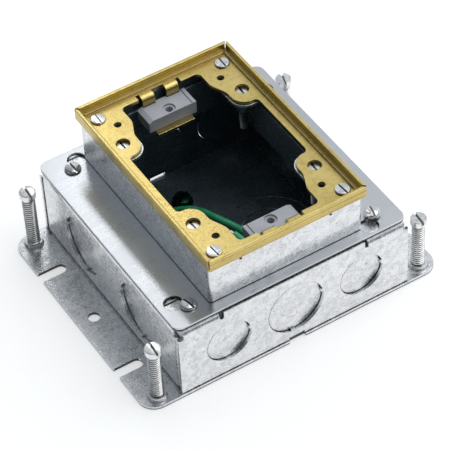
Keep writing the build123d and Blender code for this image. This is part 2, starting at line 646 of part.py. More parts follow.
# Bonding wire: leaves the terminal along the base, climbs past the throat and folds back under the
# front device block, its bared end free for the wiring device
WIRE_ROUTE = (
    WIRE_START,
    (-19.5, 37.6, 4.2),
    (-24.5, 28.5, 11.5),
    (-12.6, 18.4, 21.8),
    (-7.8, 7.2, 28.4),
    (-5.5, -7.5, 33.2),
    (-1.6, -20.0, 35.2),
    (0.6, -32.5, 35.8),
    (-3.5, -43.5, 38.5),
    (-11.0, -47.6, 45.0),
    (-14.8, -48.0, 51.3),
    (-15.4, -47.3, 56.6),
    (-16.4, -44.0, 59.0),
    (-17.5, -40.4, 59.3),
)
BARE_R = 1.0
BARE_LENGTH = 2.2
BEND_SHARE = 0.45  # of the shorter run beside a bend


def bend_radii(route):
    """The largest radius that each inner point's two runs allow."""
    radii = []
    for before, here, after in zip(route, route[1:], route[2:]):
        run_in = Vector(*here) - Vector(*before)
        run_out = Vector(*after) - Vector(*here)
        half_turn = math.radians(run_in.get_angle(run_out)) / 2
        radii.append(BEND_SHARE * min(run_in.length, run_out.length) / math.tan(half_turn))
    return radii


wire_radii = bend_radii(WIRE_ROUTE)
with BuildPart() as ground_wire:
    with BuildLine() as wire_path:
        FilletPolyline(*WIRE_ROUTE, radius=wire_radii)
    with BuildSketch(wire_path.line ^ 0):
        Circle(WIRE_R)
    sweep()
finish(ground_wire, "ground_wire")
wire_length = wire_path.wires()[0].length
print("wire bend radii", [round(radius, 1) for radius in wire_radii])
volume_share = ground_wire.part.volume / (math.pi * WIRE_R**2 * wire_length)
print("wire length", round(wire_length, 1), "volume share", round(volume_share, 4))

wire_end = Vector(*WIRE_ROUTE[-1])
end_direction = (wire_end - Vector(*WIRE_ROUTE[-2])).normalized()
with BuildPart() as ground_wire_end:
    with BuildSketch(Plane(origin=wire_end, z_dir=end_direction)):
        Circle(BARE_R)
    extrude(amount=BARE_LENGTH)
finish(ground_wire_end, "ground_wire_end")
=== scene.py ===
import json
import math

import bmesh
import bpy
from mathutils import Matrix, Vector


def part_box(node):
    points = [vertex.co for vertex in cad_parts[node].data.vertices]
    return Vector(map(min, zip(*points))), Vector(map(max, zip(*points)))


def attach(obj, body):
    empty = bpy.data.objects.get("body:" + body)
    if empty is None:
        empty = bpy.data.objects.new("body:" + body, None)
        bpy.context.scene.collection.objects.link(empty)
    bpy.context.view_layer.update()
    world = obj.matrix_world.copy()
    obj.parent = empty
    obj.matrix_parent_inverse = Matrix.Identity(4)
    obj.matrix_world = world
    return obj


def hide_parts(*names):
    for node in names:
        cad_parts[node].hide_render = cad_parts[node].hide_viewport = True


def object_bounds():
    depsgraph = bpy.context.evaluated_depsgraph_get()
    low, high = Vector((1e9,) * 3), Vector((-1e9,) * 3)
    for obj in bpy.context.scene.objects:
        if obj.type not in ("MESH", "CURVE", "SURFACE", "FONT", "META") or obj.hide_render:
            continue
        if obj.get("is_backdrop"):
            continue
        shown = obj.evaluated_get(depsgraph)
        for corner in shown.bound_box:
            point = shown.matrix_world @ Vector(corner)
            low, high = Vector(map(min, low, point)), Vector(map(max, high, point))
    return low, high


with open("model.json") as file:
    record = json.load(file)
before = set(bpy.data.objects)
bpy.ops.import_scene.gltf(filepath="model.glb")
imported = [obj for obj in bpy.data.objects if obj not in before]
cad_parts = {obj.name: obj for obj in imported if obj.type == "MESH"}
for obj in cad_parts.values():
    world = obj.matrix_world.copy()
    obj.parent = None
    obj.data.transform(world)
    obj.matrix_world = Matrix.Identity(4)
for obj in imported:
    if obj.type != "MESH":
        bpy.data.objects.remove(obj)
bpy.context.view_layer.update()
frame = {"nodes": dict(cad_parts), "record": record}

# %% [markdown]
# # Floor socket box
#
# A floor socket box is a galvanised steel box that is cast into a floor. A riser collar slides up
# out of it and carries a brass face ring, to which the socket and its cover plate are screwed.
# This lesson dresses the finished construction: it gives every sheet its plating, cuts real
# threads on the screws, and lights the whole like a catalogue photograph.
#
# The construction model fixes every size. Its nodes stay where they are, and the sheets only
# receive materials. The screws and the wire are made again here, because a thread and a smooth
# cord are worth more faces than the construction model spends on them.

MM = 0.001
nodes = frame["nodes"]
scene = bpy.context.scene

# %% [markdown]
# ## Camera
#
# The photograph was taken from the left front, high above the box, with a long lens, which keeps
# parallel edges almost parallel. The camera could be placed by eye. Here it has an azimuth, an
# elevation, a roll and a distance from a point near the middle of the riser, because such numbers
# can be fitted to the corners of the box one by one.

# %% Where a viewer stands
def look_direction(azimuth, elevation):
    """Unit vector from the object towards a viewer; azimuth 0 looks along +Y."""
    flat = math.cos(elevation)
    return Vector((math.sin(azimuth) * flat, -math.cos(azimuth) * flat, math.sin(elevation)))


# %% Camera at the photograph's place
VIEW_AZIMUTH = math.radians(-29.55)
VIEW_ELEVATION = math.radians(46.06)
VIEW_ROLL = math.radians(-3.5)
VIEW_DISTANCE = 1.070
VIEW_TARGET = Vector((-8.5, -17.2, 40.0)) * MM
SENSOR = 36.0
IMAGE_SIZE = 450
FOCAL_IN_PIXELS = 2462.5


def make_camera():
    back = look_direction(VIEW_AZIMUTH, VIEW_ELEVATION)
    level_right = Vector((0, 0, 1)).cross(back).normalized()
    level_up = back.cross(level_right)
    right = level_right * math.cos(VIEW_ROLL) + level_up * math.sin(VIEW_ROLL)
    up = back.cross(right)
    turn = Matrix((right, up, back)).transposed()
    data = bpy.data.cameras.new("camera")
    data.sensor_width = SENSOR
    data.lens = SENSOR * FOCAL_IN_PIXELS / IMAGE_SIZE
    data.clip_start, data.clip_end = 0.05, 10.0
    camera = bpy.data.objects.new("camera", data)
    camera.matrix_world = Matrix.Translation(VIEW_TARGET + back * VIEW_DISTANCE) @ turn.to_4x4()
    scene.collection.objects.link(camera)
    scene.camera = camera
    return camera


camera = make_camera()
print("lens", round(camera.data.lens, 1), "mm")

# %% [markdown]
# ## A small language for materials
#
# A procedural material is arithmetic on textures. Written as nodes and links it is long, and the
# arithmetic is hard to see. So one class wraps a socket and lets Python's own operators add the
# Math nodes: 1.0 - mask is a Subtract node, and tone.step(0.2, 0.6) is a Map Range.

# %% Sockets that can be added and multiplied
class Value:
    """A number that varies over the surface."""

    def __init__(self, graph, socket):
        self.graph = graph
        self.socket = socket

    def _math(self, operation, first, second):
        return self.graph.node("ShaderNodeMath", {"operation": operation}, [first, second])

    def __add__(self, other):
        return self._math("ADD", self, other)

    def __sub__(self, other):
        return self._math("SUBTRACT", self, other)

    def __rsub__(self, other):
        return self._math("SUBTRACT", other, self)

    def __mul__(self, other):
        return self._math("MULTIPLY", self, other)

    def __gt__(self, other):
        return self._math("GREATER_THAN", self, other)

    def __lt__(self, other):
        return self._math("LESS_THAN", self, other)

    __radd__ = __add__
    __rmul__ = __mul__

    def step(self, low, high, first=0.0, last=1.0):
        """The first result below low, the last above high, and a straight ramp between."""
        limits = {"From Min": low, "From Max": high, "To Min": first, "To Max": last}
        return self.graph.node("ShaderNodeMapRange", {"clamp": True}, {"Value": self, **limits})


def rgb(red, green, blue):
    return (red, green, blue, 1.0)


def shade(color, share):
    """A darker colour: the given share of each of its parts."""
    return rgb(*(share * part for part in color[:3]))


# %% [markdown]
# ## Node trees
#
# A material and the world both have a node tree, so one class serves both. Its first method adds
# any node there is: the type, its settings, which come first because they can change its sockets,
# and then what its sockets get. The layers method works as a painter does, coat over coat, each
# coat only as thick as its mask.

# %% A node tree
class Graph:
    """The node tree of a material or of the world."""

    def __init__(self, owner, output="ShaderNodeOutputMaterial", coordinates="Object"):
        self.owner = owner
        owner.use_nodes = True
        self.tree = owner.node_tree
        self.tree.nodes.clear()
        self.output = self.tree.nodes.new(output)
        self.place = self.node("ShaderNodeTexCoord", {}, {}, coordinates)

    def node(self, kind, settings, inputs, output=0):
        """Add a node, set it up, feed its inputs and return one output as a Value."""
        made = self.tree.nodes.new(kind)
        for key, value in settings.items():
            setattr(made, key, value)
        pairs = inputs.items() if isinstance(inputs, dict) else enumerate(inputs)
        for key, value in pairs:
            if isinstance(value, Value):
                self.tree.links.new(value.socket, made.inputs[key])
            else:
                made.inputs[key].default_value = value
        return Value(self, made.outputs[output])

    def vector(self, operation, first, second, output="Vector"):
        return self.node("ShaderNodeVectorMath", {"operation": operation}, [first, second], output)

    def split(self, vector):
        parts = self.tree.nodes.new("ShaderNodeSeparateXYZ")
        self.tree.links.new(vector.socket, parts.inputs[0])
        return [Value(self, parts.outputs[axis]) for axis in "XYZ"]

    def size(self, value):
        """A number without its sign."""
        return self.node("ShaderNodeMath", {"operation": "ABSOLUTE"}, [value])

    def mix(self, factor, first, second):
        """Blend two colours by a factor; the node keeps sockets 6 and 7 for colours."""
        inputs = {0: factor, 6: first, 7: second}
        return self.node("ShaderNodeMix", {"data_type": "RGBA"}, inputs, 2)

    def layers(self, color, *coats):
        """Lay coats over a first colour; each coat is a mask and a colour."""
        for mask, coat in coats:
            color = self.mix(mask, color, coat)
        return color

    def show(self, shader):
        self.tree.links.new(shader.socket, self.output.inputs["Surface"])
        print(self.owner.name, len(self.tree.nodes), "nodes")


# %% [markdown]
# ## Patterns
#
# Almost every mark on metal can be had from two textures. Noise is a cloud at a small scale and
# grain at a large one, and stretched along one axis it is the streak that a roller leaves.
# Voronoi cells are crystals, and with their coordinates pushed about by noise they get the
# feathery edges that zinc has.

# %% Noise, streaks and crystals
class PatternGraph(Graph):
    """A node tree with the textures that metal needs."""

    def noise(self, scale, detail=3.0, rough=0.55, place=None):
        look = {"Scale": scale, "Detail": detail, "Roughness": rough}
        return self.node("ShaderNodeTexNoise", {}, {"Vector": place or self.place, **look}, "Fac")

    def streaks(self, stretch, detail, rough):
        """Noise with a scale of its own along each axis."""
        place = self.node("ShaderNodeMapping", {}, {"Vector": self.place, "Scale": stretch})
        return self.noise(1.0, detail, rough, place)

    def cells(self, scale, channel, place):
        """One random value for each Voronoi cell."""
        inputs = {"Vector": place, "Scale": scale}
        color = self.node("ShaderNodeTexVoronoi", {}, inputs, "Color")
        return self.node("ShaderNodeSeparateColor", {}, [color], channel)

    def warped(self, amount, scale):
        """The object's coordinates, pushed about by noise."""
        inputs = {"Vector": self.place, "Scale": scale, "Detail": 2.0}
        push = self.node("ShaderNodeTexNoise", {}, inputs, "Color")
        centred = self.vector("SUBTRACT", push, (0.5, 0.5, 0.5))
        return self.vector("ADD", self.place, self.vector("MULTIPLY", centred, (amount,) * 3))


# %% [markdown]
# ## Reading the shape
#
# Wear and painted light follow the shape. A Bevel node rounds the normal over an edge, and where it
# differs from the true one is the edge itself, which rubs bright and also gets a painted highlight.
# Ambient occlusion measures how closed in a point is, which is where shade falls, so shade is
# painted there. The normal's own upward part tells walls from floors.

# %% Edges, corners and walls
class SurfaceGraph(PatternGraph):
    """The node tree of a new material, which can also read the shape that it covers."""

    def __init__(self, name):
        super().__init__(bpy.data.materials.new(name))

    def facing(self):
        return self.node("ShaderNodeNewGeometry", {}, {}, "Normal")

    def upright(self, low=0.3, high=0.7):
        """1 on walls, whose normal has an upward part below low, and 0 on faces above high."""
        return 1.0 - self.size(self.split(self.facing())[2]).step(low, high)

    def edge(self, radius):
        """A normal rounded over edges, and a mask that is 1 on them."""
        rounded = self.node("ShaderNodeBevel", {"samples": 6}, {"Radius": radius}, "Normal")
        match = self.vector("DOT_PRODUCT", rounded, self.facing(), "Value")
        return rounded, (1.0 - match).step(0.01, 0.22)

    def crevice(self, distance):
        """1 deep in a corner and 0 on open surface."""
        inputs = {"Distance": distance}
        return 1.0 - self.node("ShaderNodeAmbientOcclusion", {"samples": 8}, inputs, "AO")

    def bump(self, height, distance, strength=1.0, normal=None):
        inputs = {"Height": height, "Distance": distance, "Strength": strength}
        if normal is not None:
            inputs["Normal"] = normal
        return self.node("ShaderNodeBump", {}, inputs, "Normal")

    def finish(self, **sockets):
        """The Principled shader; names use underscores for spaces."""
        inputs = {name.replace("_", " "): value for name, value in sockets.items()}
        self.show(self.node("ShaderNodeBsdfPrincipled", {}, inputs, "BSDF"))
        return self.owner


# %% [markdown]
# ## Where a finish belongs
#
# One sheet of steel looks different from place to place: dull and painted dark as shade inside the
# box, painted black as shade on the torn side of a punched slot, and yellow with a painted thread
# of shade and highlight in the tapped holes under the ring. Each such place could be given a
# material of its own, but the construction's meshes have no borders there. So each place is a mask,
# worked out from the object's coordinates and from the way that a face looks.

# %% The inside of the box and of the collar
PLATE_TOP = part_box("side_wall_left")[0].z
SHEET = PLATE_TOP  # the walls are of the same sheet as the base plate
SLACK = 0.1 * MM
BOX_HALF_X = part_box("side_wall_right")[1].x
BOX_HALF_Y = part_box("end_wall_back")[1].y
HEAD_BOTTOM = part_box("side_wall_left")[1].z - 2.5 * MM  # the walls' heads turn in here
COLLAR_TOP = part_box("riser_collar")[1]
LOOKS_OUT = 20 * MM  # a wall's outer face stands further out than this, its inner face never

# half the width in x and in y, lowest and highest point
box_inside = (
    BOX_HALF_X - SHEET + SLACK, BOX_HALF_Y - SHEET + SLACK, PLATE_TOP - SLACK / 2, HEAD_BOTTOM
)
collar_inside = (
    COLLAR_TOP.x - 0.7 * MM, COLLAR_TOP.y - 0.7 * MM, 30 * MM, COLLAR_TOP.z - 1.5 * MM
)


def outward(g):
    """How far a face stands from the middle axis, along the way that it looks."""
    x, y, _ = g.split(g.place)
    normal_x, normal_y, _ = g.split(g.facing())
    return x * normal_x + y * normal_y


def inside_of(g, half_x, half_y, low, high):
    """1 on faces between two heights that look into the box, and 0 on those that look out."""
    x, y, z = g.split(g.place)
    within = (g.size(x) < half_x) * (g.size(y) < half_y) * (z > low) * (z < high)
    return within * (outward(g) < LOOKS_OUT)


print("inside of the box", [round(value / MM, 2) for value in box_inside], "mm")

# %% Edges of the base plate
PLATE_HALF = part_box("base_plate")[1]
ROUNDED_CORNER = 70 * MM  # faces that look out from beyond it are the plate's own corners
INSIDE_OUTLINE = 0.4 * MM


def sheared_edge(g):
    """1 on the torn edges of the slots and holes in the base plate, inside its outline."""
    x, y, z = g.split(g.place)
    inside_x = g.size(x) < PLATE_HALF.x - INSIDE_OUTLINE
    inside_y = g.size(y) < PLATE_HALF.y - INSIDE_OUTLINE
    not_a_corner = outward(g) < ROUNDED_CORNER
    in_plate = z < PLATE_TOP + 0.05 * MM
    return g.upright(0.2, 0.5) * inside_x * inside_y * not_a_corner * in_plate


def foot_of_edge(g):
    """1 on the lower half of the base plate's cut edge, which lies in its own shade."""
    return g.upright(0.2, 0.5) * (g.split(g.place)[2] < 0.75 * MM)


# %% Tapped holes for the cover plate's screws
TAPPED_X, TAPPED_Y = 26.65 * MM, 40.7 * MM
TAPPED_REACH = 2.8 * MM  # a little more than the bores' radius
BORE_PITCH = 0.6 * MM
# a thread painted in the bores: shade in its roots, a highlight on its crests
BORE_ROOT_SHADE = rgb(0.10, 0.062, 0.02)
BORE_CREST_HIGHLIGHT = rgb(0.70, 0.52, 0.26)


def tapped_hole(g):
    """A mask of the four bores through the ring and the collar, and their painted thread."""
    x, y, z = g.split(g.place)
    across, along = g.size(x) - TAPPED_X, g.size(y) - TAPPED_Y
    near = (across * across + along * along) < TAPPED_REACH ** 2
    wave = g.node("ShaderNodeMath", {"operation": "SINE"}, [z * (math.tau / BORE_PITCH)])
    return near * g.upright(), g.mix(wave.step(-0.4, 0.4), BORE_ROOT_SHADE, BORE_CREST_HIGHLIGHT)


# %% [markdown]
# ## Galvanised steel
#
# Hot-dip galvanised sheet freezes into zinc crystals, the spangle: patches a few millimetres
# across, each a slightly different grey because each throws the light another way. A picture of
# spangle would repeat and stretch round the bends. Voronoi cells need no picture: each has one
# random value, and two sizes of them are mixed. The same values go into the roughness and into a
# slight bump, so that the reflections break up where the colour changes.
#
# On top come the marks of handling, short dark dashes and fine bright scratches, then painted shade
# in the corners and a bright rub on the edges, partly wear and partly a painted highlight. Inside
# the box the sheet is dull and painted dark as shade, and only its edges shine, with a painted
# highlight.

# %% Crystals and marks
DASH_STRETCH = (420, 420, 1300)
SCRATCH_STRETCH = (1500, 900, 330)
STREAK_STRETCH = (260, 700, 260)


def spangle(g, cell):
    """A random value for each of two sizes of crystal."""
    ragged = g.warped(0.8 * cell, 1.4 / cell)
    return g.cells(1 / cell, "Red", ragged), g.cells(2.7 / cell, "Green", ragged)


def handling_marks(g):
    dash = g.streaks(DASH_STRETCH, 3, 0.62).step(0.63, 0.69)
    scratch = g.streaks(SCRATCH_STRETCH, 2, 0.6).step(0.62, 0.68)
    return dash, scratch


# %% Colours of the steel
STEEL_DARK, STEEL_LIGHT = rgb(0.55, 0.56, 0.573), rgb(0.85, 0.852, 0.865)
# painted shade inside the box and the collar
INSIDE_SHADE_DARK, INSIDE_SHADE_LIGHT = rgb(0.070, 0.100, 0.118), rgb(0.135, 0.175, 0.20)
STEEL_SCRATCH = rgb(0.97, 0.97, 0.97)
STEEL_CREVICE_SHADE = rgb(0.022, 0.026, 0.03)
STEEL_WEAR_AND_HIGHLIGHT = rgb(0.90, 0.90, 0.905)
STEEL_TORN_EDGE_SHADE = rgb(0.016, 0.018, 0.020)
STEEL_SHADED = rgb(0.07, 0.075, 0.08)
# painted highlight on the edges inside the box
INSIDE_EDGE_HIGHLIGHT = rgb(0.80, 0.84, 0.86)
LEFT_SIDE = 2.5 * MM - BOX_HALF_X  # the left wall and its flange, whose corners get less painted shade


# %% Spangled sheet
def spangled_steel(name, cell, roughness, inside_box):
    g = SurfaceGraph(name)
    coarse, fine = spangle(g, cell)
    dash, scratch = handling_marks(g)
    grain, drift = g.noise(1700, 4, 0.7), g.noise(45, 4, 0.6)
    streak = g.streaks(STREAK_STRETCH, 4, 0.65)
    tone = coarse * 0.34 + fine * 0.26 + drift * 0.22 + streak * 0.18 + (grain - 0.5) * 0.45
    inside_shade = g.mix(drift.step(0.35, 0.65), INSIDE_SHADE_DARK, INSIDE_SHADE_LIGHT)
    inside = inside_of(g, *inside_box)
    left_side = g.split(g.place)[0] < LEFT_SIDE
    corner = g.crevice(1.0 * MM).step(0.18, 0.5)
    rounded, on_edge = g.edge(0.3 * MM)
    bore, painted_thread = tapped_hole(g)
    color = g.layers(
        g.mix(tone.step(0.12, 0.66), STEEL_DARK, STEEL_LIGHT),
        (dash * 0.5, shade(STEEL_DARK, 0.3)),
        (scratch * 0.6, STEEL_SCRATCH),
        # painted shade in the corners, less of it on the left side
        (corner * (0.92 - left_side * 0.42), STEEL_CREVICE_SHADE),
        # rubbed edges: partly wear, partly a painted highlight
        (on_edge * 0.6, STEEL_WEAR_AND_HIGHLIGHT),
        # torn edges painted black as shade
        (sheared_edge(g) * (1.0 - on_edge) * 0.95, STEEL_TORN_EDGE_SHADE),
        (foot_of_edge(g) * 0.75, STEEL_SHADED),
        # inside the box: painted shade, with a painted highlight on its edges
        (inside, g.mix(on_edge * 0.9, inside_shade, INSIDE_EDGE_HIGHLIGHT)),
        # painted thread in the bores: shade in its roots, a highlight on its crests
        (bore, painted_thread),
    )
    rough = roughness + (fine - 0.5) * 0.14 + (grain - 0.5) * 0.16 + drift * 0.06
    dulled = inside * (1.0 - on_edge) * 0.75 + corner * left_side * (1.0 - inside) * 0.6
    metallic = 0.93 - dulled - bore * 0.8
    relief = coarse * 0.5 + fine * 0.35 + grain * 0.5 + streak * 0.5 - dash * 0.8 + scratch * 0.5
    normal = g.bump(relief, 0.06 * MM, 0.5, rounded)
    return g.finish(Base_Color=color, Roughness=rough, Metallic=metallic, Normal=normal)


# %% Steel of the box and of the riser
finishes = {
    "galvanised_steel": spangled_steel("galvanised_steel", 2.6 * MM, 0.25, box_inside),
    "galvanised_sleeve": spangled_steel("galvanised_sleeve", 3.4 * MM, 0.23, collar_inside),
}

# %% [markdown]
# ## Bright zinc cover
#
# The cover is cold-rolled sheet with bright zinc plating. It is nearly a mirror, but rolled sheet
# is never flat: shallow waves bend the reflections, and a haze softens them. A plain mirror with
# a noisy colour would look painted. So the colour is an even grey, the roughness is low and
# uneven, and a bump far broader than it is deep does the bending. Painted shade darkens the
# corners, and the edges are rubbed bright, partly wear and partly a painted highlight. The lower
# half of the cut edge is painted dark as shade, which draws the line between the cover and the
# walls.

# %% Bright zinc
COVER_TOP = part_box("cover_plate")[1].z
ZINC_DARK, ZINC_LIGHT = rgb(0.575, 0.595, 0.62), rgb(0.64, 0.66, 0.685)
ZINC_SPECK = rgb(0.42, 0.45, 0.48)
ZINC_CREVICE_SHADE = rgb(0.03, 0.034, 0.04)
ZINC_WEAR_AND_HIGHLIGHT = rgb(0.92, 0.93, 0.94)
ZINC_SHADED = rgb(0.014, 0.016, 0.018)


def bright_zinc(name):
    g = SurfaceGraph(name)
    depth = COVER_TOP - g.split(g.place)[2]
    under_edge = g.upright() * depth.step(0.65 * MM, 0.85 * MM)
    rolling = g.streaks((60, 900, 60), 4, 0.6)
    haze = g.noise(22, 4, 0.6)
    wave = g.noise(11, 1, 0.4)
    speck = g.noise(700, 3, 0.7)
    rounded, on_edge = g.edge(0.3 * MM)
    color = g.layers(
        g.mix(haze.step(0.35, 0.7), ZINC_DARK, ZINC_LIGHT),
        (speck.step(0.62, 0.8) * 0.3, ZINC_SPECK),
        # painted shade in the corners
        (g.crevice(0.9 * MM).step(0.2, 0.55) * 0.9, ZINC_CREVICE_SHADE),
        # rubbed edges: partly wear, partly a painted highlight
        (on_edge * 0.5, ZINC_WEAR_AND_HIGHLIGHT),
        # the lower half of the cut edge painted dark as shade
        (under_edge * 0.95, ZINC_SHADED),
    )
    rough = 0.255 + haze.step(0.35, 0.75) * 0.08 + (rolling - 0.5) * 0.08
    normal = g.bump(wave, 0.6 * MM, 0.10, g.bump(rolling, 0.01 * MM, 0.16, rounded))
    return g.finish(Base_Color=color, Roughness=rough, Metallic=1.0, Normal=normal)


finishes["zinc_plated_cover"] = bright_zinc("zinc_plated_cover")

# %% [markdown]
# ## Brass
#
# The face ring is stamped brass with a satin surface: fine random grain from tumbling, with
# painted glints on it, soft blotches where the tarnish has begun, and brighter edges where it has
# rubbed off, partly wear and partly a painted highlight. Brass is a yellow metal, so the colour
# sits in the base colour of a fully metallic shader. Its rim was drawn through rollers, which left
# fine lines along it and a groove below the lip. Both could be modelled, but they are a few
# hundredths of a millimetre deep, so colour and bump carry them, and the groove is painted dark as
# shade. Painted shade also darkens the corners.

# %% Colours and lines of the brass
RIM_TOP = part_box("face_ring")[1].z
GROOVE_Z = RIM_TOP - 1.9 * MM
BRASS_DARK, BRASS_LIGHT = rgb(0.63, 0.485, 0.165), rgb(0.745, 0.59, 0.22)
BRASS_PIT = rgb(0.44, 0.32, 0.11)
BRASS_GLINT = rgb(0.92, 0.80, 0.45)
BRASS_LINE = rgb(0.30, 0.215, 0.07)
BRASS_FOOT = rgb(0.36, 0.26, 0.09)
BRASS_GROOVE_SHADE = rgb(0.16, 0.11, 0.03)
BRASS_CREVICE_SHADE = rgb(0.11, 0.075, 0.022)
BRASS_WEAR_AND_HIGHLIGHT = rgb(0.93, 0.83, 0.55)


# %% Satin brass
def satin_brass(name):
    g = SurfaceGraph(name)
    height = g.split(g.place)[2]
    upright = g.upright()
    drawn = g.streaks((45, 45, 2300), 3, 0.6).step(0.40, 0.66)
    groove = 1.0 - g.size(height - GROOVE_Z).step(0.10 * MM, 0.26 * MM)
    foot = (RIM_TOP - height).step(2.2 * MM, 5.5 * MM)
    grain, fleck, cloud = g.noise(1900, 4, 0.7), g.noise(420, 4, 0.65), g.noise(70, 4, 0.6)
    rounded, on_edge = g.edge(0.32 * MM)
    bore, painted_thread = tapped_hole(g)
    color = g.layers(
        g.mix(cloud.step(0.35, 0.68), BRASS_DARK, BRASS_LIGHT),
        (fleck.step(0.52, 0.66) * 0.5, BRASS_PIT),
        # painted glints on the grain
        (grain.step(0.55, 0.68) * 0.35, BRASS_GLINT),
        (upright * drawn * 0.45, BRASS_LINE),
        (upright * foot * 0.45, BRASS_FOOT),
        # the groove below the lip painted dark as shade
        (upright * groove * 0.7, BRASS_GROOVE_SHADE),
        # painted shade in the corners
        (g.crevice(1.1 * MM).step(0.2, 0.6) * 0.75, BRASS_CREVICE_SHADE),
        (bore, painted_thread),
        # rubbed edges: partly wear, partly a painted highlight
        (on_edge * 0.7, BRASS_WEAR_AND_HIGHLIGHT),
    )
    rough = 0.30 + (cloud - 0.5) * 0.16 + (grain - 0.5) * 0.22
    relief = grain * 0.7 + fleck * 0.5 - upright * (drawn * 0.6 + groove * 1.2)
    normal = g.bump(relief, 0.05 * MM, 0.6, rounded)
    metallic = 1.0 - bore * 0.8
    return g.finish(Base_Color=color, Roughness=rough, Metallic=metallic, Normal=normal)


finishes["brass_plate"] = satin_brass("brass_plate")

# %% [markdown]
# ## Plated fastenings
#
# The screws are zinc plated, the bushes are darker, the terminal is tinned, and the ground screw
# is dyed green over its zinc, so it stays metallic under the colour. They are small and look alike
# but for their colours. So one function makes them all: two tones in soft patches, a fine grain,
# and painted shade in the roots of the threads and slots.

# %% Plated fastenings
PLATINGS = {  # light patches, dark patches, roughness
    "screw_steel": (rgb(0.90, 0.90, 0.89), rgb(0.60, 0.60, 0.60), 0.21),
    "bush_steel": (rgb(0.46, 0.49, 0.49), rgb(0.20, 0.23, 0.23), 0.32),
    "tinned_terminal": (rgb(0.75, 0.75, 0.73), rgb(0.45, 0.45, 0.44), 0.3),
    "bare_copper": (rgb(0.95, 0.80, 0.70), rgb(0.84, 0.60, 0.47), 0.25),
    "green_screw": (rgb(0.03, 0.17, 0.105), rgb(0.010, 0.06, 0.04), 0.28),
}


def plated(name, light, dark, roughness):
    g = SurfaceGraph(name)
    patch = g.noise(420, 4, 0.6)
    grain = g.noise(2600, 3, 0.7)
    # painted shade in the roots of the threads and slots
    root_shade = g.crevice(0.9 * MM).step(0.12, 0.45)
    color = g.layers(g.mix(patch.step(0.35, 0.7), dark, light), (root_shade * 0.9, shade(dark, 0.08)))
    rough = roughness + (patch - 0.5) * 0.16 + (grain - 0.5) * 0.1
    normal = g.bump(grain, 0.01 * MM, 0.25)
    return g.finish(Base_Color=color, Roughness=rough, Metallic=1.0, Normal=normal)


for slot, plating in PLATINGS.items():
    finishes[slot] = plated(slot, *plating)

# %% [markdown]
# ## Moulded blocks and insulation
#
# The device blocks are moulded in a dull grey compound with darker specks, and its edges are worn
# lighter. The wire's insulation is smooth green plastic with a soft gloss, and a faint ripple from
# the extruder keeps its highlight from being a ruled line.

# %% Grey compound
GREY_DARK, GREY_LIGHT = rgb(0.45, 0.455, 0.495), rgb(0.54, 0.545, 0.59)
GREY_SPECK = rgb(0.26, 0.26, 0.30)
GREY_CREVICE_SHADE = rgb(0.03, 0.03, 0.035)
GREY_RUBBED = rgb(0.62, 0.62, 0.67)


def moulded_grey(name):
    g = SurfaceGraph(name)
    speck = g.noise(1500, 3, 0.7)
    cloud = g.noise(120, 3)
    rounded, on_edge = g.edge(0.3 * MM)
    color = g.layers(
        g.mix(cloud.step(0.3, 0.7), GREY_DARK, GREY_LIGHT),
        (speck.step(0.6, 0.75) * 0.4, GREY_SPECK),
        # painted shade in the corners
        (g.crevice(1.5 * MM).step(0.3, 0.8) * 0.7, GREY_CREVICE_SHADE),
        (on_edge * 0.4, GREY_RUBBED),
    )
    rough = 0.46 + (cloud - 0.5) * 0.2
    normal = g.bump(speck, 0.03 * MM, 0.5, rounded)
    return g.finish(Base_Color=color, Roughness=rough, Normal=normal)


finishes["grey_block"] = moulded_grey("grey_block")

# %% Green insulation
GREEN_DARK, GREEN_LIGHT = rgb(0.018, 0.25, 0.105), rgb(0.040, 0.40, 0.19)


def green_insulation(name):
    g = SurfaceGraph(name)
    cloud = g.noise(160, 3)
    ripple = g.noise(900, 2, 0.5)
    color = g.mix(cloud.step(0.3, 0.7), GREEN_DARK, GREEN_LIGHT)
    rough = 0.26 + (cloud - 0.5) * 0.25
    normal = g.bump(ripple, 0.03 * MM, 0.35)
    return g.finish(Base_Color=color, Roughness=rough, Normal=normal)


finishes["green_insulation"] = green_insulation("green_insulation")

# %% [markdown]
# ## Dressing the construction nodes
#
# The record names a material slot for each node, and every finish above is kept under its slot's
# name. So each finish is made once and shared, and one loop dresses every node. Their meshes are
# not touched.

# %% Finishes by slot
for part in frame["record"]["subparts"]:
    mesh = nodes[part["node"]].data
    mesh.materials.clear()
    mesh.materials.append(finishes[part["material_slot"]])
print("finishes", len(finishes))

# %% [markdown]
# ## Turned shapes
#
# A screw is turned on a lathe, and spin is Blender's lathe: it swings a profile about an axis.
# With use_merge the last copy joins the first, and points on the axis close to a pole when the
# doubles are merged. Every screw below is made about the Z axis and then carried to its place.

# %% Lathe
SPIN_STEPS = 48
WELD = 0.001 * MM


def profile_in(bm, points):
    """The points as a line of vertices and edges, ready to be spun about the Z axis."""
    verts = [bm.verts.new((radius, 0, height)) for radius, height in points]
    return verts + [bm.edges.new(pair) for pair in zip(verts, verts[1:])]


def turned(profile):
    """A closed solid of revolution from (radius, height) points that start and end on the axis."""
    bm = bmesh.new()
    bmesh.ops.spin(
        bm, geom=profile_in(bm, profile), cent=(0, 0, 0), axis=(0, 0, 1),
        angle=math.tau, steps=SPIN_STEPS, use_merge=True,
    )
    bmesh.ops.remove_doubles(bm, verts=bm.verts, dist=WELD)
    bmesh.ops.recalc_face_normals(bm, faces=bm.faces)
    return bm


# %% [markdown]
# ## Threads
#
# A screw thread is one tooth profile that climbs by one pitch in each turn. Spin does that too:
# its dvec moves every copy up a little. A whole row of teeth is spun once round while it climbs
# one pitch, so each tooth ends where its upper neighbour began, and the seam merges away. Two
# bisecting planes then cut the rod to length and holes_fill closes its ends.

# %% Helical thread
THREAD_DEPTH = 0.56  # share of the pitch
TOOTH = ((0.0, -1.0), (0.22, -1.0), (0.50, 0.0), (0.70, 0.0))  # share of pitch, share of depth
SPARE_TEETH = 2  # at each end, cut away again


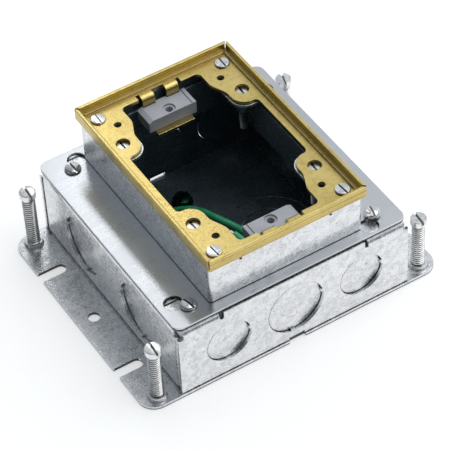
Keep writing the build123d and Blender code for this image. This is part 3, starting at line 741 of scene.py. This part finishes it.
def threaded_rod(radius, pitch, low, high):
    bm = bmesh.new()
    depth = THREAD_DEPTH * pitch
    teeth = int((high - low) / pitch) + 2 * SPARE_TEETH
    points = [
        (radius + inward * depth, low + (tooth - SPARE_TEETH + along) * pitch)
        for tooth in range(teeth)
        for along, inward in TOOTH
    ]
    bmesh.ops.spin(
        bm, geom=profile_in(bm, points), cent=(0, 0, 0), axis=(0, 0, 1),
        dvec=(0, 0, pitch / SPIN_STEPS), angle=math.tau, steps=SPIN_STEPS,
    )
    bmesh.ops.remove_doubles(bm, verts=bm.verts, dist=WELD)
    for height, outside in ((low, -1), (high, 1)):
        bmesh.ops.bisect_plane(
            bm, geom=bm.verts[:] + bm.edges[:] + bm.faces[:],
            plane_co=(0, 0, height), plane_no=(0, 0, outside), clear_outer=True,
        )
    bmesh.ops.holes_fill(bm, edges=[edge for edge in bm.edges if edge.is_boundary], sides=0)
    bmesh.ops.recalc_face_normals(bm, faces=bm.faces)
    return bm


# %% [markdown]
# ## Screw slots
#
# The slot is milled, so it is cut here as a mill cuts it: a bar is laid across the head and taken
# away from it with a Boolean. The modifier's result is read back as a mesh, and the two working
# objects are removed.

# %% Slot by Boolean
BAR_LENGTH = 20 * MM  # longer than any head is wide


def object_from(bm, name):
    mesh = bpy.data.meshes.new(name)
    bm.to_mesh(mesh)
    bm.free()
    made = bpy.data.objects.new(name, mesh)
    scene.collection.objects.link(made)
    return made


def mill_bar(width, depth, top, turn):
    """A bar across the axis that reaches down to depth below top, turned by some degrees."""
    bar = bmesh.new()
    bmesh.ops.create_cube(bar, size=1.0)
    bmesh.ops.scale(bar, vec=(BAR_LENGTH, width, 2 * depth), verts=bar.verts)
    bmesh.ops.translate(bar, vec=(0, 0, top), verts=bar.verts)
    about_z = Matrix.Rotation(math.radians(turn), 3, "Z")
    bmesh.ops.rotate(bar, cent=(0, 0, 0), matrix=about_z, verts=bar.verts)
    return bar


def slotted(head, width, depth, top, turn):
    blank = object_from(head, "blank")
    mill = object_from(mill_bar(width, depth, top, turn), "mill")
    cut = blank.modifiers.new("slot", "BOOLEAN")
    cut.object = mill
    cut.solver = "EXACT"
    evaluated = blank.evaluated_get(bpy.context.evaluated_depsgraph_get())
    milled = bpy.data.meshes.new_from_object(evaluated)
    result = bmesh.new()
    result.from_mesh(milled)
    for used in (blank, mill):
        mesh = used.data
        bpy.data.objects.remove(used)
        bpy.data.meshes.remove(mesh)
    bpy.data.meshes.remove(milled)
    return result


# %% [markdown]
# ## Heads
#
# Two profiles serve every slotted screw here: a flat cylinder whose rim is rounded off, and a
# low dome over a short straight side. A profile is a handful of points from the axis out and back
# to the axis, because that is what the lathe needs. A bevel on a finished cylinder would round
# the underside too.

# %% Heads
def flat_head(radius, low, height, rounding):
    """Profile of a cylindrical head with a rounded rim, from its underside up."""
    top = low + height
    arc = [math.radians(step * 22.5) for step in range(5)]
    rim = [
        (radius - rounding * (1 - math.cos(a)), top - rounding * (1 - math.sin(a))) for a in arc
    ]
    return [(0, low), (radius, low)] + rim + [(0, top)]


def domed_head(radius, low, height):
    """Profile of a pan head: a low straight side under a quarter ellipse."""
    side = 0.3 * height
    arc = [math.radians(step * 11.25) for step in range(8)]
    dome = [(radius * math.cos(a), low + side + (height - side) * math.sin(a)) for a in arc]
    return [(0, low), (radius, low)] + dome + [(0, low + height)]


# %% [markdown]
# ## Whole screws
#
# A head and its rod are two closed shapes that overlap by a hair, kept side by side in one mesh. A
# Boolean union would weld them, but it could tear the fine teeth, and the joint is hidden under
# the head. Each finished piece gets smooth shading that stops at its sharp edges, rides on its
# body, and stands for the construction node whose place it takes.

# %% Head and rod
OVERLAP = 0.02 * MM


def joined(bms):
    """One bmesh with all of the given ones in it."""
    whole = bmesh.new()
    for bm in bms:
        carrier = bpy.data.meshes.new("carrier")
        bm.to_mesh(carrier)
        bm.free()
        whole.from_mesh(carrier)
        bpy.data.meshes.remove(carrier)
    return whole


def screw(profile, slot_width, slot_depth, turn, thread_radius, pitch, low):
    """A slotted head about the Z axis on a threaded rod that reaches down to low."""
    underside, top = profile[0][1], profile[-1][1]
    head = slotted(turned(profile), slot_width, slot_depth, top, turn)
    return joined([head, threaded_rod(thread_radius, pitch, low, underside + OVERLAP)])


# %% A piece in its place
SMOOTH_BELOW = math.radians(35)


def middle_of(low, high):
    """The middle of a box, seen from above."""
    return ((low.x + high.x) / 2, (low.y + high.y) / 2, 0)


def place_piece(name, bms, places, body, slot, replaced):
    """Gather shapes at their places into one object that rides a body and stands for a node."""
    for bm, place in zip(bms, places):
        bmesh.ops.translate(bm, vec=place, verts=bm.verts)
    gathered = joined(bms)
    for face in gathered.faces:
        face.smooth = True
    for edge in gathered.edges:
        edge.smooth = edge.calc_face_angle(0.0) < SMOOTH_BELOW
    piece = object_from(gathered, name)
    piece.data.materials.append(finishes[slot])
    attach(piece, body)
    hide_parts(replaced)
    print(name, len(piece.data.polygons), "faces")


# %% [markdown]
# ## Leveling screws
#
# Four quarter-inch screws, twenty threads to the inch, stand in the tapped collars of the base
# plate. Turned in, they lift the box off the subfloor until it is level. Each construction node
# gives the place, the tip and the top of its screw.

# %% Leveling screws
INCH = 25.4 * MM
LEVELING_HEAD = 3.0 * MM
leveling_turns = {"front_left": 86, "front_right": 85, "back_left": 87, "back_right": 73}
for place, turn in leveling_turns.items():
    node = f"leveling_screw_{place}"
    low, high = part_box(node)
    head = flat_head(
        radius=(high.x - low.x) / 2, low=high.z - LEVELING_HEAD, height=LEVELING_HEAD,
        rounding=0.35 * MM,
    )
    shape = screw(
        head, slot_width=1.2 * MM, slot_depth=1.8 * MM, turn=turn,
        thread_radius=3.05 * MM, pitch=INCH / 20, low=low.z,
    )
    spot = middle_of(low, high)
    place_piece(f"threaded_{node}", [shape], [spot], f"leveling_{place}", "screw_steel", node)

# %% [markdown]
# ## Adjusting screws
#
# Number eight screws with 32 threads to the inch. Their heads turn in the seats under the face
# ring, and their shanks run in the bushes of the fixed sleeve, so they carry the riser up.

# %% Adjusting screws
FINE_PITCH = INCH / 32
ADJUSTING_HEAD = 1.45 * MM
adjusting_turns = {"front_left": 90, "front_right": 85, "back_left": 90, "back_right": 84}
for place, turn in adjusting_turns.items():
    node = f"adjusting_screw_{place}"
    low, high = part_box(node)
    head = flat_head(
        radius=(high.x - low.x) / 2, low=high.z - ADJUSTING_HEAD, height=ADJUSTING_HEAD,
        rounding=0.2 * MM,
    )
    shape = screw(
        head, slot_width=1.1 * MM, slot_depth=0.8 * MM, turn=turn,
        thread_radius=2.0 * MM, pitch=FINE_PITCH, low=low.z,
    )
    spot = middle_of(low, high)
    place_piece(f"threaded_{node}", [shape], [spot], f"adjusting_{place}", "screw_steel", node)

# %% [markdown]
# ## Cover and ring screws
#
# The cover screws have round heads, and the front right one is backed out, as in the photograph.
# The ring screws have low flat heads. Each set is one piece, as the four are in the construction.

# %% Cover screws
SCREW_X, SCREW_Y = 46.8 * MM, 49.2 * MM
COVER_SHANK = 9 * MM
DOME_HEIGHT = 2.2 * MM
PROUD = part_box("cover_screws")[1].z - COVER_TOP - DOME_HEIGHT
# side in x, side in y, turn of the slot in degrees, how far the head stands off the cover
cover_places = ((-1, -1, 103, 0), (-1, 1, 95, 0), (1, -1, 77, PROUD), (1, 1, 50, 0))
cover_shapes = [
    screw(
        domed_head(radius=3.7 * MM, low=proud, height=DOME_HEIGHT),
        slot_width=1.1 * MM, slot_depth=1.3 * MM, turn=turn,
        thread_radius=2.0 * MM, pitch=FINE_PITCH, low=proud - COVER_SHANK,
    )
    for _, _, turn, proud in cover_places
]
cover_spots = [
    (side_x * SCREW_X, side_y * SCREW_Y, COVER_TOP) for side_x, side_y, _, _ in cover_places
]
place_piece(
    "threaded_cover_screws", cover_shapes, cover_spots, "box", "screw_steel", "cover_screws"
)
print("front right cover screw stands", round(PROUD / MM, 2), "mm proud")

# %% Ring screws
RING_X, RING_Y = 32.2 * MM, 48.4 * MM
RING_HEAD = 1.0 * MM
ring_low, ring_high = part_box("ring_screws")
ring_places = ((-1, -1, 94), (-1, 1, 87), (1, -1, 94), (1, 1, 88))  # side, side, turn
ring_head = flat_head(
    radius=3.4 * MM, low=ring_high.z - RING_HEAD, height=RING_HEAD, rounding=0.3 * MM
)
ring_shapes = [
    screw(
        ring_head, slot_width=0.9 * MM, slot_depth=0.6 * MM, turn=turn,
        thread_radius=1.9 * MM, pitch=FINE_PITCH, low=ring_low.z,
    )
    for _, _, turn in ring_places
]
ring_spots = [(side_x * RING_X, side_y * RING_Y, 0) for side_x, side_y, _ in ring_places]
place_piece("threaded_ring_screws", ring_shapes, ring_spots, "riser", "screw_steel", "ring_screws")

# %% [markdown]
# ## Ground screw
#
# A green hexagon washer-head screw clamps the terminal to the floor of the box. The head starts
# as a six-sided cylinder, whose top rim is bevelled as the chamfer of a forged head, and the
# washer is turned under it.

# %% Hexagon washer head
def hexagon_head(low, height, across_corners):
    bm = bmesh.new()
    radius = across_corners / 2
    bmesh.ops.create_cone(
        bm, cap_ends=True, segments=6, radius1=radius, radius2=radius, depth=height
    )
    bmesh.ops.translate(bm, vec=(0, 0, low + height / 2), verts=bm.verts)
    rim_above = low + 0.9 * height
    rim = [edge for edge in bm.edges if min(vert.co.z for vert in edge.verts) > rim_above]
    bmesh.ops.bevel(
        bm, geom=rim, offset=0.4 * MM, segments=2, profile=0.5, affect="EDGES", material=-1
    )
    return bm


def washer(low, top, radius):
    side_top = low + 0.5 * MM
    chamfer = radius - 0.4 * MM
    return turned([(0, low), (radius, low), (radius, side_top), (chamfer, top), (0, top)])


# %% Ground screw
ground_low, ground_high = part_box("ground_screw")
HEXAGON_HEIGHT = 3.0 * MM
WASHER_TOP = ground_high.z - HEXAGON_HEIGHT
WASHER_LOW = WASHER_TOP - 0.7 * MM
head = slotted(
    hexagon_head(WASHER_TOP, HEXAGON_HEIGHT, across_corners=9.0 * MM),
    width=1.1 * MM, depth=1.2 * MM, top=ground_high.z, turn=40,
)
shank = threaded_rod(2.3 * MM, FINE_PITCH, ground_low.z, WASHER_LOW + OVERLAP)
shapes = [washer(WASHER_LOW, WASHER_TOP, radius=5.0 * MM), head, shank]
spots = [middle_of(ground_low, ground_high)] * len(shapes)
place_piece("hexagon_ground_screw", shapes, spots, "box", "green_screw", "ground_screw")

# %% [markdown]
# ## Bonding wire
#
# The green wire is solid copper in plastic, stiff enough to keep the bends it was given: out of
# its terminal, up past the throat, and back under the front device block with its bare end free.
# A tube made of straight runs would show its corners. One NURBS spline with the route's points as
# its control points gives a line without any.

# %% Route of the bonding wire
WIRE_ROUTE = (
    (-10.1, 37.6, 4.2),
    (-19.5, 37.6, 4.2),
    (-24.5, 28.5, 11.5),
    (-12.6, 18.4, 21.8),
    (-7.8, 7.2, 28.4),
    (-5.5, -7.5, 33.2),
    (-1.6, -20.0, 35.2),
    (0.6, -32.5, 35.8),
    (-3.5, -43.5, 38.5),
    (-11.0, -47.6, 45.0),
    (-14.8, -48.0, 51.3),
    (-15.4, -47.3, 56.6),
    (-16.4, -44.0, 59.0),
    (-17.5, -40.4, 59.3),
)
WIRE_DIAMETER = 3.5 * MM

# %% Bonding wire
curve = bpy.data.curves.new("bonding_wire", "CURVE")
curve.dimensions = "3D"
curve.bevel_depth = WIRE_DIAMETER / 2
curve.bevel_resolution = 8
curve.use_fill_caps = True
curve.resolution_u = 16
spline = curve.splines.new("NURBS")
spline.points.add(len(WIRE_ROUTE) - 1)
for point, (x, y, z) in zip(spline.points, WIRE_ROUTE):
    point.co = (x * MM, y * MM, z * MM, 1.0)
spline.order_u = 3
spline.use_endpoint_u = True
curve.materials.append(finishes["green_insulation"])
wire = bpy.data.objects.new("bonding_wire", curve)
scene.collection.objects.link(wire)
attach(wire, "box")
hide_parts("ground_wire")

# %% [markdown]
# ## The room
#
# The photograph is a catalogue picture on white. What its metal mirrors tells where the light
# was: upward faces show a bright room behind on the right, while the box's left side and the foot
# of the collar show a darker, bluish one. A picture of a studio could be wrapped round the scene.
# A plain gradient that is brightest on the right needs no picture, and a few numbers set it. The
# camera itself sees white.

# %% World
ROOM_BRIGHT_SIDE = Vector((0.75, 0.45, 0.3)).normalized()
ROOM_DARKEST, ROOM_BRIGHTEST = 0.13, 0.90
BLUISH, NEARLY_WHITE = rgb(0.76, 0.90, 1.0), rgb(0.97, 0.975, 1.0)
WHITE = rgb(1, 1, 1)


def make_world():
    scene.world = bpy.data.worlds.new("studio")
    g = Graph(scene.world, "ShaderNodeOutputWorld", "Generated")
    side = g.vector("DOT_PRODUCT", g.place, ROOM_BRIGHT_SIDE, "Value")
    light = side.step(-0.1, 1.0, ROOM_DARKEST, ROOM_BRIGHTEST)
    tint = g.mix(light, BLUISH, NEARLY_WHITE)
    room = g.node("ShaderNodeBackground", {}, {"Color": tint, "Strength": light})
    backdrop = g.node("ShaderNodeBackground", {}, {"Color": WHITE})
    seen = g.node("ShaderNodeLightPath", {}, {}, "Is Camera Ray")
    g.show(g.node("ShaderNodeMixShader", {}, [seen, room, backdrop]))


make_world()

# %% [markdown]
# ## Floor
#
# The floor is a sheet of pale paper. Lit by the lamps alone it would be grey in the picture, and
# lamps strong enough to whiten it would burn out the zinc. So it glows a little, but only for the
# camera and in reflections, where it also brightens the front wall. The light that it throws on
# the box, and the box's shadow on it, are those of plain paper.

# %% Floor
FLOOR_GLOW = 0.50
FLOOR_HALF = 3.0
PAPER_DARK, PAPER_LIGHT = rgb(0.80, 0.80, 0.80), rgb(0.84, 0.84, 0.84)


def make_floor():
    bm = bmesh.new()
    bmesh.ops.create_grid(bm, x_segments=1, y_segments=1, size=FLOOR_HALF)
    floor = object_from(bm, "floor")
    g = SurfaceGraph("floor_paper")
    tone = g.mix(g.noise(30, 3), PAPER_DARK, PAPER_LIGHT)
    paper = g.node("ShaderNodeBsdfPrincipled", {}, {"Base Color": tone, "Roughness": 0.8})
    glow = g.node("ShaderNodeEmission", {}, {"Color": WHITE, "Strength": FLOOR_GLOW})
    rays = g.tree.nodes.new("ShaderNodeLightPath")
    kinds = ("Is Camera Ray", "Is Glossy Ray", "Is Transmission Ray")
    seen, glossy, transmitted = (Value(g, rays.outputs[kind]) for kind in kinds)
    white = g.node("ShaderNodeAddShader", {}, [paper, glow])
    g.show(g.node("ShaderNodeMixShader", {}, [seen + (glossy + transmitted), paper, white]))
    floor.data.materials.append(g.owner)
    floor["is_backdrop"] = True


make_floor()

# %% [markdown]
# ## Softboxes
#
# Metal shows its lamps, so they are large and soft. The key stands high on the right, one hangs
# nearly overhead, a weak bluish one fills the left, and a low one at the front right is what the
# bends of the sheet mirror. A single strong sun would be simpler, but it would leave hard white
# dots on every screw. Their sum is kept at a plain level, so that nothing burns out.

# %% Softboxes
SOFTBOXES = (
    # name, azimuth, elevation, distance, width, height, power, colour
    ("key_softbox", 74, 62, 1.3, 1.2, 1.0, 5.0, (1, 1, 1)),
    ("front_softbox", -10, 80, 1.4, 0.8, 0.8, 1.2, (1, 1, 1)),
    ("fill_softbox", -95, 25, 1.4, 0.6, 0.6, 0.4, (0.94, 0.97, 1.0)),
    ("low_softbox", 25, 33, 1.4, 0.5, 0.2, 0.4, (1, 1, 1)),
)


def area_lamp(name, place, turn, width, height, power, color=(1, 1, 1)):
    """A rectangular lamp that shines against the Z axis of its turn."""
    data = bpy.data.lights.new(name, "AREA")
    data.shape = "RECTANGLE"
    data.size, data.size_y = width, height
    data.energy = power
    data.color = color
    lamp = bpy.data.objects.new(name, data)
    lamp.matrix_world = Matrix.Translation(place) @ turn.to_4x4()
    scene.collection.objects.link(lamp)
    print(name, power, "W")


for name, azimuth, elevation, distance, width, height, power, color in SOFTBOXES:
    back = look_direction(math.radians(azimuth), math.radians(elevation))
    turn = back.to_track_quat("Z", "Y").to_matrix()
    area_lamp(name, VIEW_TARGET + back * distance, turn, width, height, power, color)

# %% [markdown]
# ## Strip lamp
#
# Along the left side of the cover runs one long soft highlight, which fades to grey before it
# reaches the collar. Its lamp could be pushed about until it appears there. But in a flat mirror
# a lamp stands on the line from the mirrored eye through the spot, so its place is worked out.

# %% Strip lamp
STRIP_SPOT = Vector((-49 * MM, -9 * MM, COVER_TOP))


def mirrored_strip(spot, distance, width, length, power):
    """A narrow lamp that the camera sees in the cover at one spot, along the cover's side."""
    eye = camera.matrix_world.translation.copy()
    eye.z = 2 * spot.z - eye.z
    back = (spot - eye).normalized()
    along = Vector((0, 1, 0))
    along = (along - back * along.dot(back)).normalized()
    turn = Matrix((along.cross(back), along, back)).transposed()
    area_lamp("strip_lamp", spot + back * distance, turn, width, length, power)


mirrored_strip(STRIP_SPOT, distance=0.32, width=0.02, length=0.16, power=0.037)
scene.view_settings.view_transform = "Standard"

# %% [markdown]
# ## Sizes, and the end
#
# The last cell prints the finished model's box: the reach of everything that is rendered, without
# the floor.

# %% Size of the finished model, and the end
low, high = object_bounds()
print("visual box", [round(v, 4) for v in low], [round(v, 4) for v in high])
